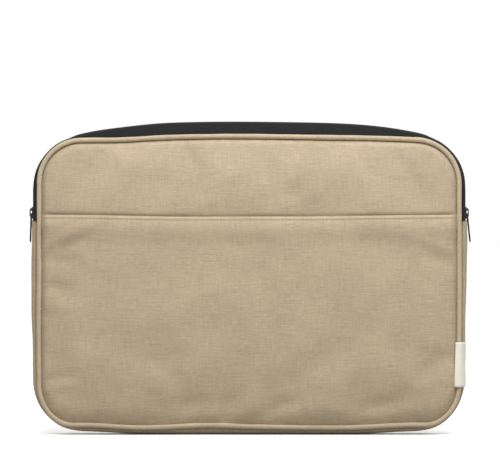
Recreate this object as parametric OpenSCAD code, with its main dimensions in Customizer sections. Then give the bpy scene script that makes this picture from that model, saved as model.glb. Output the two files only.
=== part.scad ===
// Padded laptop sleeve: two canvas panels, a U shaped gusset, piped edges, a slip pocket on the
// front and a zipper over the top that is fully open, with its two half tapes standing.
// +Z is up, +X to the right, the front faces -Y. The origin is on the resting surface, below the
// middle of the bounding box. Outlines lie in XZ and are extruded along Y.

/* [Sleeve] */
// Overall width across the side gussets
sleeve_w = 400; // [340:1:440]
// Height from the base to the highest point of the front piping
sleeve_h = 276; // [240:1:320]
// Distance between the front and back piping centre lines
gusset_w = 24; // [22:1:30]
// How far the gusset stands out beyond the piping centre line
gusset_bulge = 7.4; // [7:0.2:9]
// Radius of the piping centre line at the corners
corner_r = 44; // [36:1:50]
// Rise of the top edge between its corners and its middle
top_bow = 3; // [1:0.5:5]

/* [Layers] */
// Thickness of the canvas
canvas_t = 1.2; // [1:0.1:1.4]
// Thickness of the padding
foam_t = 4; // [3:0.2:4.6]
// Thickness of the lining
lining_t = 0.8; // [0.6:0.1:1]
// Outer diameter of the piping
piping_d = 4.4; // [4:0.1:4.6]

/* [Slip pocket] */
// Height of the pocket mouth above the base
pocket_h = 200; // [150:1:204]
// Room between the pocket and the front panel
pocket_gap = 5.4; // [5.2:0.1:8]
// Height of the folded hem at the mouth
hem_h = 14; // [8:1:20]

/* [Zipper] */
// Height of the zipper's lower ends above the base
zip_end_z = 197.5; // [190:0.5:200]
// Thickness of the zipper tape
tape_t = 0.8; // [0.6:0.1:0.9]
// Width of the tape from its fold to its coil
tape_w = 8.3; // [8:0.1:8.6]
// Diameter of the zipper coil
coil_d = 2.2; // [1.8:0.1:2.4]
// Length of a slider body
slider_l = 11; // [10:0.5:12]
// Width of a slider body
slider_w = 10; // [9.6:0.1:11]
// Length of a puller from its bar to its tip
puller_l = 26; // [20:1:32]
// Outward lean of the left puller at rest, in degrees
lean_left = 2; // [1:0.5:8]
// Outward lean of the right puller at rest, in degrees
lean_right = 6; // [1:0.5:8]

/* [Label] */
// Height of the folded side label
label_h = 41; // [20:1:60]
// Height of the label's lower edge above the base
label_z = 44; // [44:1:120]

/* [Hidden] */

canvas_colour = [0.70, 0.63, 0.53];
piping_colour = [0.72, 0.65, 0.55];
thread_colour = [0.76, 0.70, 0.60];
black_colour = [0.10, 0.10, 0.11];
lining_colour = [0.16, 0.16, 0.17];
foam_colour = [0.55, 0.55, 0.56];
metal_colour = [0.22, 0.22, 0.23];
label_colour = [0.90, 0.87, 0.81];

// The piping centre line: its half width, its lowest and highest height, its corner centres.
half_w = sleeve_w / 2 - gusset_bulge;
low_z = gusset_bulge;
high_z = sleeve_h - piping_d / 2;
corner_x = half_w - corner_r;
low_corner_z = low_z + corner_r;
bow_r = corner_x * corner_x / (2 * top_bow) + corner_r;
bow_angle = asin(corner_x / (bow_r - corner_r));
high_corner_z = high_z - bow_r + (bow_r - corner_r) * cos(bow_angle);

// Across the depth, measured from the middle of the gusset: the piping centre line, the panel
// faces, and the pocket. The whole is moved by y_mid so that its box is centred on Y = 0.
pipe_y = gusset_w / 2;
panel_in = pipe_y + 1.4;
panel_out = panel_in + canvas_t;
foam_in = panel_in - foam_t;
lining_in = foam_in - lining_t;
pocket_in = panel_out + pocket_gap;
pocket_out = pocket_in + canvas_t;
y_mid = (pocket_out - panel_out) / 2;

// The seam stack inside the piping: piping flange, then gusset or tape, then binding round both.
seam_edge = -5.6;
flange_t = 0.8;
flange_y = pipe_y + 0.9;
stack_y = flange_y - flange_t;
binding_t = 0.5;
panel_edge = -2.4;
foam_edge = -7.4;
lining_edge = -4.2;

// The front panel folds here when the mouth is pulled open: the top of the straight sides.
fold_z = high_corner_z - 1;

// The zipper tape's fold line and the slider's rest height.
tape_fold = 5.4;
tape_wall_y = pipe_y - 2.7;
slider_z = zip_end_z + slider_l / 2 + 0.8;
under_gusset = 12;
big = 1000;

// ---- Outline frames. A frame is [x, z, outward x, outward z].
arc_steps = 12;
bow_steps = 16;

function arc_frames(cx, cz, r, a0, a1, steps) = [
    for (i = [0 : steps])
        let (a = a0 + (a1 - a0) * i / steps)
        [cx + r * cos(a), cz + r * sin(a), cos(a), sin(a)]
];

function low_frames() = concat(
    arc_frames(-corner_x, low_corner_z, corner_r, 180, 270, arc_steps),
    arc_frames(corner_x, low_corner_z, corner_r, 270, 360, arc_steps)
);

function high_frames() = concat(
    arc_frames(corner_x, high_corner_z, corner_r, 0, 90 - bow_angle, arc_steps),
    arc_frames(0, high_z - bow_r, bow_r, 90 - bow_angle, 90 + bow_angle, bow_steps),
    arc_frames(-corner_x, high_corner_z, corner_r, 90 + bow_angle, 180, arc_steps)
);

// Drops a frame that repeats the one before it.
function tidy(frames) = [
    for (i = [0 : len(frames) - 1])
        if (i == 0 || norm(frames[i] - frames[i - 1]) > 0.001) frames[i]
];

function ring_path() = tidy(concat(low_frames(), high_frames()));

function lower_path(z) = tidy(concat([[-half_w, z, -1, 0]], low_frames(), [[half_w, z, 1, 0]]));

function upper_path(z) = tidy(concat([[half_w, z, 1, 0]], high_frames(), [[-half_w, z, -1, 0]]));

function side_path(side, z0, z1) = [[side * half_w, z0, side, 0], [side * half_w, z1, side, 0]];

// The outline's points, moved outward by n.
function outline(n) = [for (f = ring_path()) [f[0] + n * f[2], f[1] + n * f[3]]];

// ---- Cross sections. A section is a list of [depth, outward] points, and s is -1 at the front
// and 1 at the back.
function unit(v) = v / norm(v);
function left_of(v) = [-v[1], v[0]];

function miter(pts, i) =
    let (a = i > 0 ? left_of(unit(pts[i] - pts[i - 1])) : undef)
    let (b = i < len(pts) - 1 ? left_of(unit(pts[i + 1] - pts[i])) : undef)
    is_undef(a) ? b : is_undef(b) ? a : (a + b) / (1 + a * b);

// A strip of thickness t along a line of points.
function strip(pts, t) = concat(
    [for (i = [0 : len(pts) - 1]) pts[i] + miter(pts, i) * t / 2],
    reversed([for (i = [0 : len(pts) - 1]) pts[i] - miter(pts, i) * t / 2])
);

function flip(pts, s) = [for (p = pts) [s * p[0], p[1]]];

function round_section(y, n, r, sides) = [
    for (i = [0 : sides - 1]) [y + r * cos(360 * (i + 0.5) / sides), n + r * sin(360 * (i + 0.5) / sides)]
];

// ---- Sweeps
function area(pts) = [
    for (i = [0 : len(pts) - 1])
        let (p = pts[i], q = pts[(i + 1) % len(pts)])
        p[0] * q[1] - q[0] * p[1]
] * [for (p = pts) 0.5];

function reversed(list) = [for (i = [len(list) - 1 : -1 : 0]) list[i]];

// Every section runs the same way round, so that all faces look outward.
function turned(pts) = area(pts) < 0 ? pts : reversed(pts);

// Joins sections along a path; sections[i] belongs to path[i]. Point j of a section faces point
// count - 1 - j across it, so the end caps are quads between such pairs. Each side face is split
// along its shorter diagonal, since a twisted face isn't flat.
module sweep(path, sections, closed = false) {
    count = len(sections[0]);
    rings = len(path);
    points = [
        for (i = [0 : rings - 1]) for (p = turned(sections[i]))
            [path[i][0] + p[1] * path[i][2], p[0] + y_mid, path[i][1] + p[1] * path[i][3]]
    ];
    last = closed ? rings - 1 : rings - 2;
    sides = [
        for (i = [0 : last]) for (j = [0 : count - 1])
            let (a = i * count, b = ((i + 1) % rings) * count, k = (j + 1) % count)
            each norm(points[a + j] - points[b + k]) < norm(points[b + j] - points[a + k])
                ? [[a + j, b + j, b + k], [a + j, b + k, a + k]]
                : [[a + j, b + j, a + k], [b + j, b + k, a + k]]
    ];
    cap = [for (j = [0 : count / 2 - 2]) [j, j + 1, count - 2 - j, count - 1 - j]];
    end = (rings - 1) * count;
    caps = closed ? [] : concat(cap, [for (q = cap) reversed([for (j = q) end + j])]);
    polyhedron(points = points, faces = concat(sides, caps), convexity = 8);
}

module sweep_same(path, section, closed = false) {
    sweep(path, [for (f = path) section], closed);
}

// A flat layer between two depths, with the outline moved outward by n.
module layer(y0, y1, n) {
    translate([0, max(y0, y1) + y_mid, 0])
        rotate([90, 0, 0])
            linear_extrude(height = abs(y1 - y0))
                polygon(outline(n));
}

module below(z) {
    intersection() {
        children();
        translate([-big / 2, -big / 2, z - big]) cube([big, big, big]);
    }
}

module above(z) {
    intersection() {
        children();
        translate([-big / 2, -big / 2, z]) cube([big, big, big]);
    }
}

// ---- Panels, foam and lining
module back_panel() {
    color(canvas_colour) layer(panel_in, panel_out, panel_edge);
}

module back_foam() {
    color(foam_colour) layer(foam_in, panel_in, foam_edge);
}

module back_lining() {
    color(lining_colour) layer(lining_in, foam_in, lining_edge);
}

module front_panel() {
    color(canvas_colour) below(fold_z) layer(-panel_out, -panel_in, panel_edge);
}

module front_foam() {
    color(foam_colour) below(fold_z) layer(-panel_in, -foam_in, foam_edge);
}

module front_lining() {
    color(lining_colour) below(fold_z) layer(-foam_in, -lining_in, lining_edge);
}

module front_panel_top() {
    color(canvas_colour) above(fold_z) layer(-panel_out, -panel_in, panel_edge);
}

module front_foam_top() {
    color(foam_colour) above(fold_z) layer(-panel_in, -foam_in, foam_edge);
}

module front_lining_top() {
    color(lining_colour) above(fold_z) layer(-foam_in, -lining_in, lining_edge);
}

// ---- Slip pocket: a shallow tray of canvas, open at the mouth.
module slip_pocket() {
    color(canvas_colour)
        below(pocket_h)
            difference() {
                layer(-pocket_out, -panel_out, panel_edge);
                layer(-pocket_in, -panel_out + 1, panel_edge - canvas_t);
            }
}

hem_t = 1;
stitch_t = 0.4;
hem_half_w = half_w + panel_edge - canvas_t - 0.2;

module pocket_hem() {
    color(canvas_colour)
        translate([-hem_half_w, -pocket_in + y_mid, pocket_h - hem_h])
            cube([2 * hem_half_w, hem_t, hem_h]);
}

// A row of stitches along X, centred on x = 0.
module stitch_row(width, z, y, length, thick) {
    pitch = length * 1.5;
    count = floor(width / pitch);
    for (i = [0 : count - 1])
        translate([(i - (count - 1) / 2) * pitch - length / 2, y, z - thick / 2])
            cube([length, thick, thick]);
}

module pocket_stitching() {
    color(thread_colour)
        stitch_row(2 * hem_half_w - 6, pocket_h - 2.5, -pocket_out - stitch_t + y_mid, 4, stitch_t);
}

// ---- Gusset: a U of canvas, foam and lining.
gusset_corner = 2;
gusset_wall_y = pipe_y - 2.3 - canvas_t / 2;
gusset_mid_n = gusset_bulge - canvas_t / 2;

function gusset_line() =
    let (half = [
        [stack_y - canvas_t / 2, seam_edge],
        [stack_y - canvas_t / 2, panel_edge - 0.7],
        [gusset_wall_y, panel_edge - 0.7],
        [gusset_wall_y, gusset_mid_n - gusset_corner],
        [gusset_wall_y - gusset_corner * 0.3, gusset_mid_n - gusset_corner * 0.3],
        [gusset_wall_y - gusset_corner, gusset_mid_n]
    ])
    concat(flip(half, -1), reversed(half));

module gusset_canvas() {
    color(canvas_colour)
        sweep_same(lower_path(zip_end_z), strip(gusset_line(), canvas_t));
}

foam_half = gusset_wall_y - canvas_t / 2 - 0.1;
gusset_foam_out = gusset_bulge - canvas_t - 0.1;
gusset_foam_in = gusset_foam_out - 3;
foam_chamfer = 1.8;

module gusset_foam() {
    color(foam_colour)
        sweep_same(lower_path(zip_end_z - under_gusset - 1), [
            [-foam_half, gusset_foam_in],
            [-foam_half, gusset_foam_out - foam_chamfer],
            [-foam_half + foam_chamfer, gusset_foam_out],
            [foam_half - foam_chamfer, gusset_foam_out],
            [foam_half, gusset_foam_out - foam_chamfer],
            [foam_half, gusset_foam_in]
        ]);
}

module gusset_lining() {
    color(lining_colour)
        sweep_same(lower_path(zip_end_z - under_gusset - 1), [
            [-foam_half, gusset_foam_in - lining_t],
            [-foam_half, gusset_foam_in],
            [foam_half, gusset_foam_in],
            [foam_half, gusset_foam_in - lining_t]
        ]);
}

// ---- Piping: a canvas strip folded round a cord, its two edges side by side in the seam.
pipe_wall = 0.35;
loop_r = (piping_d - pipe_wall) / 2;
cord_r = loop_r - pipe_wall / 2 - 0.05;
outer_edge = 0.7;
inner_edge = 0.28;
pipe_steps = 11;

// The fold starts at the outer seam edge, runs round the cord and comes back beside it.
function cover_line(s) =
    let (start = -acos(outer_edge / loop_r))
    let (end = 360 - acos(inner_edge / loop_r))
    flip(concat(
        [[pipe_y + outer_edge, seam_edge]],
        [
            for (i = [0 : pipe_steps])
                let (a = start + (end - start) * i / pipe_steps)
                [pipe_y + loop_r * cos(a), loop_r * sin(a)]
        ],
        [[pipe_y + inner_edge, seam_edge]]
    ), s);

module cover(path, s, closed = false) {
    color(piping_colour) sweep_same(path, strip(cover_line(s), pipe_wall), closed);
}

module cord(path, s, closed = false) {
    color(label_colour)
        sweep_same(path, round_section(s * pipe_y, 0, cord_r, 8), closed);
}

module front_piping() cover(lower_path(fold_z), -1);

module front_piping_top() cover(upper_path(fold_z), -1);

module back_piping() cover(ring_path(), 1, true);

module front_piping_cord() cord(lower_path(fold_z), -1);

module front_piping_cord_top() cord(upper_path(fold_z), -1);

module back_piping_cord() cord(ring_path(), 1, true);

// ---- Binding: a tape folded over the raw edges of the seam stack.
binding_arm = 1.7;

function binding_line(inner) = [
    [flange_y + binding_t / 2, seam_edge + binding_arm],
    [flange_y + binding_t / 2, seam_edge - binding_t / 2],
    [inner - binding_t / 2, seam_edge - binding_t / 2],
    [inner - binding_t / 2, seam_edge + binding_arm]
];

module binding(path, s, closed = false) {
    color(black_colour)
        sweep_same(path, flip(strip(binding_line(stack_y - canvas_t), binding_t), s), closed);
}

module front_binding() binding(lower_path(fold_z), -1);

module front_binding_top() binding(upper_path(fold_z), -1);

module back_binding() binding(ring_path(), 1, true);

// ---- Zipper tape: from the seam stack out past the piping, then over towards the middle on the
// sides. Along the top it stands up, and near the corners its free edge is turned down inside.
rise_x = corner_x + 6.4;
rise_n = 5.3;
stand_angle = 85;
tuck_angle = -67;
tuck_x = corner_x + 17;
tuck_fade = 14;
bend = 1.2;
coil_room = 0.12;

// How much of the tape stands, from 0 on the sides to 1 in the middle of the top.
function rise(f) = f[3] <= 0.01 ? 0 : pow(max(0, 1 - pow(abs(f[0]) / rise_x, 3)), 0.7);

// Elevation of the tape's last stretch, towards the free edge.
function turn_angle(f) =
    let (k = rise(f))
    k > 0.5
        ? tuck_angle + (stand_angle - tuck_angle) * (2 * k - 1)
        : tuck_angle * max(0, min(1, 1 - (abs(f[0]) - tuck_x) / tuck_fade));

function heading(a) = [-cos(a), sin(a)];

function tape_bend(f) = [tape_wall_y, tape_fold + rise_n * rise(f) - bend * sin(45)];

function tape_turn(f) = tape_bend(f) + bend * heading((90 + turn_angle(f)) / 2);

function tape_end(f) =
    tape_turn(f) + (tape_w - rise_n * rise(f) - bend * cos(45)) * heading(turn_angle(f));

function tape_line(f) = [
    [stack_y - tape_t / 2, seam_edge],
    [stack_y - tape_t / 2, panel_edge - 0.5],
    [tape_wall_y, panel_edge - 0.5],
    tape_bend(f),
    tape_turn(f),
    tape_end(f)
];

module tape(path, s) {
    color(black_colour)
        sweep(path, [for (f = path) flip(strip(tape_line(f), tape_t), s)]);
}

// The coil lies on the inner face of the tape's free edge.
function coil_centre(f) =
    let (a = turn_angle(f))
    tape_end(f) + (coil_d / 2) * [cos(a), -sin(a)]
        - ((coil_d + tape_t) / 2 + coil_room) * [sin(a), cos(a)];

module coil(path, s) {
    color(black_colour)
        sweep(path, [for (f = path) flip(round_section(coil_centre(f)[0], coil_centre(f)[1], coil_d / 2, 8), s)]);
}

coil_low_z = zip_end_z - 4;

// The tape's two tails, which lie flat under the gusset's ends.
module tape_tails(s) {
    color(black_colour)
        for (side = [-1, 1])
            sweep_same(
                side > 0 ? side_path(1, zip_end_z - under_gusset, zip_end_z)
                    : side_path(-1, zip_end_z, zip_end_z - under_gusset),
                flip(strip([[tape_wall_y - 1.3, tape_fold], [tape_wall_y - tape_w, tape_fold]], tape_t), s)
            );
}

module back_zip_tape() {
    tape(upper_path(zip_end_z), 1);
    tape_tails(1);
}

module front_zip_tape_top() tape(upper_path(fold_z), -1);

module front_zip_tape_sides() {
    tape(side_path(-1, fold_z, zip_end_z), -1);
    tape(side_path(1, zip_end_z, fold_z), -1);
    tape_tails(-1);
}

module back_zip_coil() coil(upper_path(coil_low_z), 1);

module front_zip_coil_top() coil(upper_path(fold_z), -1);

module front_zip_coil_sides() {
    coil(side_path(-1, fold_z, coil_low_z), -1);
    coil(side_path(1, coil_low_z, fold_z), -1);
}

// ---- Parts on the side faces. on_side puts them so that X runs outward from the piping centre
// line, Y is the depth and Z the height.
module on_side(side) {
    translate([side * half_w, y_mid, 0])
        if (side > 0) children();
        else mirror([1, 0, 0]) children();
}

stop_h = 2.5;

module zip_end_stops() {
    color(metal_colour)
        for (side = [-1, 1])
            on_side(side)
                translate([tape_fold - tape_t / 2 - coil_d - 0.1, -4.4, coil_low_z - stop_h - 0.2])
                    cube([coil_d, 8.8, stop_h]);
}

module zip_end_stitching() {
    color(thread_colour)
        for (side = [-1, 1])
            on_side(side)
                for (row = [0, 1])
                    for (i = [-2 : 2])
                        translate([gusset_bulge, i * 3 - 1, zip_end_z - 2.2 - row * 3])
                            cube([0.3, 2, 0.5]);
}

// ---- Sliders: outer plate with the bridge for the puller, a post between the coils, and an
// inner plate whose edges are turned out beside them.
plate_t = 1.2;
clear = 0.35;
outer_plate_n = tape_fold + tape_t / 2 + clear;
inner_plate_n = tape_fold - tape_t / 2 - coil_d - clear;
post_w = 1.1;
bridge_w = 3;
bridge_l = 9;
bridge_h = 2.5;
bridge_hole_l = 3.8;
bridge_hole_h = 1.5;
bridge_n = outer_plate_n + plate_t;
bar_n = bridge_n + bridge_hole_h / 2;
bar_z = slider_z - 0.9;
edge_w = 1;

// A plate with rounded ends, wider above than below.
module slider_plate(n) {
    translate([n, 0, slider_z])
        rotate([90, 0, 90])
            linear_extrude(height = plate_t)
                polygon([
                    [-slider_w / 2 + 1.2, -slider_l / 2],
                    [slider_w / 2 - 1.2, -slider_l / 2],
                    [slider_w / 2 - 0.2, -slider_l / 2 + 1.4],
                    [slider_w / 2, slider_l / 2 - 2],
                    [slider_w / 2 - 1.8, slider_l / 2],
                    [-slider_w / 2 + 1.8, slider_l / 2],
                    [-slider_w / 2, slider_l / 2 - 2],
                    [-slider_w / 2 + 0.2, -slider_l / 2 + 1.4]
                ]);
}

module slider_solid() {
    slider_plate(outer_plate_n);
    slider_plate(inner_plate_n - plate_t);
    // Post between the two rows of coil
    translate([inner_plate_n - plate_t / 2, -post_w / 2, slider_z + 1.5])
        cube([outer_plate_n - inner_plate_n + plate_t, post_w, slider_l / 2 - 2]);
    // Turned edges of the inner plate
    for (s = [-1, 1])
        translate([inner_plate_n - plate_t / 2, s * (slider_w / 2 - 0.8) - edge_w / 2, slider_z - slider_l / 2 + 2])
            cube([tape_fold - tape_t / 2 - clear - inner_plate_n + plate_t / 2, edge_w, slider_l - 4.5]);
    // Bridge
    difference() {
        translate([bridge_n - 0.2, bridge_w / 2, slider_z])
            rotate([90, 0, 0])
                linear_extrude(height = bridge_w)
                    polygon([
                        [0, -bridge_l / 2],
                        [bridge_h - 1.2, -bridge_l / 2],
                        [bridge_h, -bridge_l / 2 + 1.6],
                        [bridge_h, bridge_l / 2 - 1.6],
                        [bridge_h - 1.2, bridge_l / 2],
                        [0, bridge_l / 2]
                    ]);
        translate([bridge_n, -bridge_w, slider_z - bridge_hole_l / 2])
            cube([bridge_hole_h, 2 * bridge_w, bridge_hole_l]);
    }
}

module slider_left() {
    color(metal_colour) on_side(-1) slider_solid();
}

module slider_right() {
    color(metal_colour) on_side(1) slider_solid();
}

// ---- Pullers: a round bar through the bridge, two arms past it and a flat tab.
bar_r = 0.55;
arm_in = bridge_w / 2 + 0.45;
arm_w = 1.3;
window_l = 6.3;
tab_t = 1.2;
tab_end_w = 4.6;

module puller_solid() {
    rotate([90, 0, 0]) cylinder(r = bar_r, h = 2 * (arm_in + 0.5), center = true, $fn = 24);
    for (s = [-1, 1])
        translate([-tab_t / 2, s * (arm_in + arm_w / 2) - arm_w / 2, -window_l - 0.5])
            cube([tab_t, arm_w, window_l + 0.8]);
    difference() {
        translate([-tab_t / 2, 0, 0])
            rotate([90, 0, 90])
                linear_extrude(height = tab_t)
                    polygon([
                        [-arm_in - arm_w, -window_l],
                        [arm_in + arm_w, -window_l],
                        [tab_end_w / 2, -window_l - 3],
                        [tab_end_w / 2, -puller_l + 1.2],
                        [tab_end_w / 2 - 1.2, -puller_l],
                        [-tab_end_w / 2 + 1.2, -puller_l],
                        [-tab_end_w / 2, -puller_l + 1.2],
                        [-tab_end_w / 2, -window_l - 3]
                    ]);
        translate([0, 0, -puller_l + 3.2])
            rotate([0, 90, 0]) cylinder(d = 1.8, h = 4, center = true, $fn = 24);
    }
}

module puller(side, lean) {
    color(metal_colour)
        on_side(side)
            translate([bar_n, 0, bar_z])
                rotate([0, -lean, 0])
                    puller_solid();
}

module puller_left() puller(-1, lean_left);

module puller_right() puller(1, lean_right);

// ---- Side label: a folded cotton strip from the front seam, over the piping and the gusset.
label_t = 0.8;

function label_line() = [
    [-pipe_y - 2.4, panel_edge + 0.4],
    [-pipe_y - 3.0, -0.6],
    [-pipe_y - 2.5, 2.2],
    [-pipe_y + 0.6, 5.2],
    [-pipe_y + 3.2, gusset_bulge + 0.6],
    [-pipe_y + 10, gusset_bulge + 0.6]
];

module side_label() {
    color(label_colour)
        sweep_same(side_path(1, label_z, label_z + label_h), strip(label_line(), label_t));
}

module label_stitching() {
    color(thread_colour)
        for (z = [label_z + 2 : 3 : label_z + label_h - 3])
            translate([half_w + gusset_bulge + 0.6 + label_t / 2, -pipe_y + 8 + y_mid, z])
                cube([0.3, 0.4, 2]);
}

back_panel();
back_foam();
back_lining();
front_panel();
front_foam();
front_lining();
front_panel_top();
front_foam_top();
front_lining_top();
slip_pocket();
pocket_hem();
pocket_stitching();
gusset_canvas();
gusset_foam();
gusset_lining();
front_piping();
front_piping_top();
back_piping();
front_piping_cord();
front_piping_cord_top();
back_piping_cord();
front_binding();
front_binding_top();
back_binding();
back_zip_tape();
front_zip_tape_sides();
front_zip_tape_top();
back_zip_coil();
front_zip_coil_sides();
front_zip_coil_top();
zip_end_stops();
zip_end_stitching();
slider_left();
slider_right();
puller_left();
puller_right();
side_label();
label_stitching();
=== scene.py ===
"""Looks of the laptop sleeve: canvas, piping, padding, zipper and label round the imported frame.

Metres throughout, in the frame's own axes: +Z up, +X right, the front faces -Y.
"""
import math

import bmesh
import bpy
import numpy as np
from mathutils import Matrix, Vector
from mathutils.kdtree import KDTree


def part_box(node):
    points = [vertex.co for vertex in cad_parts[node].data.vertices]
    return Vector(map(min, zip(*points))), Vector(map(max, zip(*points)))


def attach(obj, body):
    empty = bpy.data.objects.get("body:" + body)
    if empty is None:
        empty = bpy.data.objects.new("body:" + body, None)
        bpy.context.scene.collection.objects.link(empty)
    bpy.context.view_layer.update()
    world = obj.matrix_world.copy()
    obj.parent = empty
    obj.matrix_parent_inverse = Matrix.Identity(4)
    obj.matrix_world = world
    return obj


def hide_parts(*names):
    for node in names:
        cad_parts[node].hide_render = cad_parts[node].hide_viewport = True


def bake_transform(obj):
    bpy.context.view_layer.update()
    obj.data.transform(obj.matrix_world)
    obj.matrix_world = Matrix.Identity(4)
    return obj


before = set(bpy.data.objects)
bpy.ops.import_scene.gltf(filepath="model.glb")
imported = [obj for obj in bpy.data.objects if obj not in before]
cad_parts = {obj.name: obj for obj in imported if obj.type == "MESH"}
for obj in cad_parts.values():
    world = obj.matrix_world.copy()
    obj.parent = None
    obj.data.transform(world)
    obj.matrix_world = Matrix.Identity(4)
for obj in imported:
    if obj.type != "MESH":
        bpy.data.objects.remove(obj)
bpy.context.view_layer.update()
MM = 0.001

# ---- measures from the frame
back_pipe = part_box("back_piping")
front_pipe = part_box("front_piping")
PIPE_R = (back_pipe[1].y - back_pipe[0].y) / 2
BACK_Y = (back_pipe[0].y + back_pipe[1].y) / 2
FRONT_Y = (front_pipe[0].y + front_pipe[1].y) / 2
MID_Y = (FRONT_Y + BACK_Y) / 2
HALF_W = back_pipe[1].x - PIPE_R
LOW_Z = back_pipe[0].z + PIPE_R
BOW = 3 * MM
HIGH_Z = back_pipe[1].z - PIPE_R - BOW
ZIP_END_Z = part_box("gusset_canvas")[1].z
POCKET_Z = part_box("slip_pocket")[1].z
GUSSET_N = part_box("gusset_canvas")[1].x - HALF_W
LINING_FRONT_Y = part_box("front_lining")[1].y
LINING_BACK_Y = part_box("back_lining")[0].y
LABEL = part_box("side_label")

CORNER_R = 40 * MM
CORNER_X = HALF_W - CORNER_R
LOW_C = LOW_Z + CORNER_R
HIGH_C = HIGH_Z - CORNER_R
PANEL_N = -1.3 * MM
CANVAS_T = 0.9 * MM


# ---- small maths
def smooth(t):
    t = np.clip(t, 0, 1)
    return t * t * (3 - 2 * t)


def rise(value, start, length):
    """From 0 at start to 1 at start + length."""
    return smooth((value - start) / length)


def fall(value, end, length):
    """From 1 at end - length to 0 at end."""
    return smooth((end - value) / length)


def hump(value, middle, width):
    return np.exp(-(((value - middle) / width) ** 2))


def pipe_y(side):
    """Depth of a piping's middle; side is -1 at the front and 1 at the back."""
    return FRONT_Y if side < 0 else BACK_Y


def ripple(a, b, wavelength, seed, waves=7):
    """Soft irregular waves over two coordinates, roughly from -1 to 1."""
    rng = np.random.default_rng(seed)
    total = 0
    for _ in range(waves):
        heading = rng.uniform(0, 2 * math.pi)
        k = 2 * math.pi / (wavelength * rng.uniform(0.7, 1.5))
        phase = rng.uniform(0, 2 * math.pi)
        total = total + np.sin(k * (a * math.cos(heading) + b * math.sin(heading)) + phase)
    return total / math.sqrt(waves) / 1.4


# ---- the outline
LEGS = [
    ("line", CORNER_X, (0, LOW_Z), (1, 0)),
    ("arc", CORNER_R * math.pi / 2, (CORNER_X, LOW_C), -math.pi / 2),
    ("line", HIGH_C - LOW_C, (HALF_W, LOW_C), (0, 1)),
    ("arc", CORNER_R * math.pi / 2, (CORNER_X, HIGH_C), 0),
    ("line", 2 * CORNER_X, (CORNER_X, HIGH_Z), (-1, 0)),
    ("arc", CORNER_R * math.pi / 2, (-CORNER_X, HIGH_C), math.pi / 2),
    ("line", HIGH_C - LOW_C, (-HALF_W, HIGH_C), (0, -1)),
    ("arc", CORNER_R * math.pi / 2, (-CORNER_X, LOW_C), math.pi),
    ("line", CORNER_X, (-CORNER_X, LOW_Z), (1, 0)),
]
PERIMETER = sum(leg[1] for leg in LEGS)


def outline(s):
    """Piping centre line at arc length s from the middle of the base, going right and up.

    Gives x, z and the outward normal's x and z."""
    s = s % PERIMETER
    for kind, length, start, way in LEGS:
        if s <= length:
            break
        s -= length
    if kind == "line":
        return start[0] + way[0] * s, start[1] + way[1] * s, way[1], -way[0]
    angle = way + s / CORNER_R
    c, d = math.cos(angle), math.sin(angle)
    return start[0] + CORNER_R * c, start[1] + CORNER_R * d, c, d


S_RIGHT = LEGS[0][1] + LEGS[1][1]
S_LEFT = PERIMETER - S_RIGHT


def s_at_side(z, right):
    """Arc length of height z on a straight side."""
    return S_RIGHT + (z - LOW_C) if right else S_LEFT - (z - LOW_C)


def inset(x, z, n):
    """Distance inward from the outline moved outward by n."""
    r = CORNER_R + n
    qx = np.abs(x) - CORNER_X
    mid = (LOW_C + HIGH_C) / 2
    qz = np.abs(z - mid) - (HIGH_C - LOW_C) / 2
    out = np.hypot(np.maximum(qx, 0), np.maximum(qz, 0)) + np.minimum(np.maximum(qx, qz), 0)
    return r - out


WAVER = 0.35 * MM


def relax(points):
    """The small departures of a sewn sleeve from its pattern: the bowed top edge with a shallow
    dip on its left, lower corners drawn in, and a slow waver of the seams."""
    p = np.array(points, float)
    x, z = p[..., 0].copy(), p[..., 2].copy()
    far = np.abs(x)
    bow = BOW * np.maximum(0, 1 - (x / CORNER_X) ** 2)
    dip = 1.1 * MM * hump(x, -0.118, 0.030)
    p[..., 2] += rise(z, 0.20, 0.07) * (bow - dip)
    # Lower corners: drawn in and up, more behind than ahead, with the front's apex pushed out.
    behind = rise(p[..., 1], FRONT_Y, 0.012)
    drawn = (0.3 + 1.4 * behind) * MM
    p[..., 0] -= np.sign(x) * fall(z, 0.125, 0.10) * drawn * rise(far, 0.10, 0.09)
    corner = rise(far, 0.090, 0.070) * (1 - rise(z, 0.006, 0.045))
    ahead = 2.0 * (1 - 1.1 * rise(far, 0.150, 0.024))
    p[..., 2] += (ahead + (2.9 - ahead) * behind) * MM * corner
    apex = rise(far, 0.150, 0.028) * (1 - rise(z, 0.020, 0.035)) * (1 - behind)
    p[..., 0] += np.sign(x) * MM * apex
    p[..., 2] -= 0.9 * MM * apex * smooth(z / 0.010)
    # The front seam's wave along the base.
    seam = fall(z, 0.045, 0.035) * smooth(z / 0.006) * fall(p[..., 1], 0.002, 0.006)
    wave = hump(x, -0.036, 0.034) - 0.45 * hump(x, -0.100, 0.030) - 0.35 * hump(x, 0.075, 0.035)
    p[..., 2] += 1.7 * MM * seam * wave
    # The seams' slow waver, which stops beside the sliders and at the floor.
    calm = 1 - rise(far, 0.16, 0.03) * rise(z, 0.15, 0.02) * fall(z, 0.25, 0.02)
    p[..., 0] += WAVER * calm * ripple(x, z, 0.13, 3) * smooth(far / 0.1)
    p[..., 2] += WAVER * calm * smooth(z / 0.02) * ripple(x, z, 0.11, 4)
    return p


# ---- meshes
def placed(name, data):
    piece = bpy.data.objects.new(name, data)
    bpy.context.scene.collection.objects.link(piece)
    return piece


def make_piece(name, verts, faces, uv, material):
    """uv is one pair for each corner of each face, in metres of cloth."""
    mesh = bpy.data.meshes.new(name)
    mesh.from_pydata([tuple(v) for v in verts], [], [tuple(int(i) for i in f) for f in faces])
    layer = mesh.uv_layers.new(name="cloth")
    layer.data.foreach_set("uv", np.array(uv, np.float32).reshape(-1))
    mesh.materials.append(material)
    mesh.polygons.foreach_set("use_smooth", [True] * len(mesh.polygons))
    mesh.validate()
    return placed(name, mesh)


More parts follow.
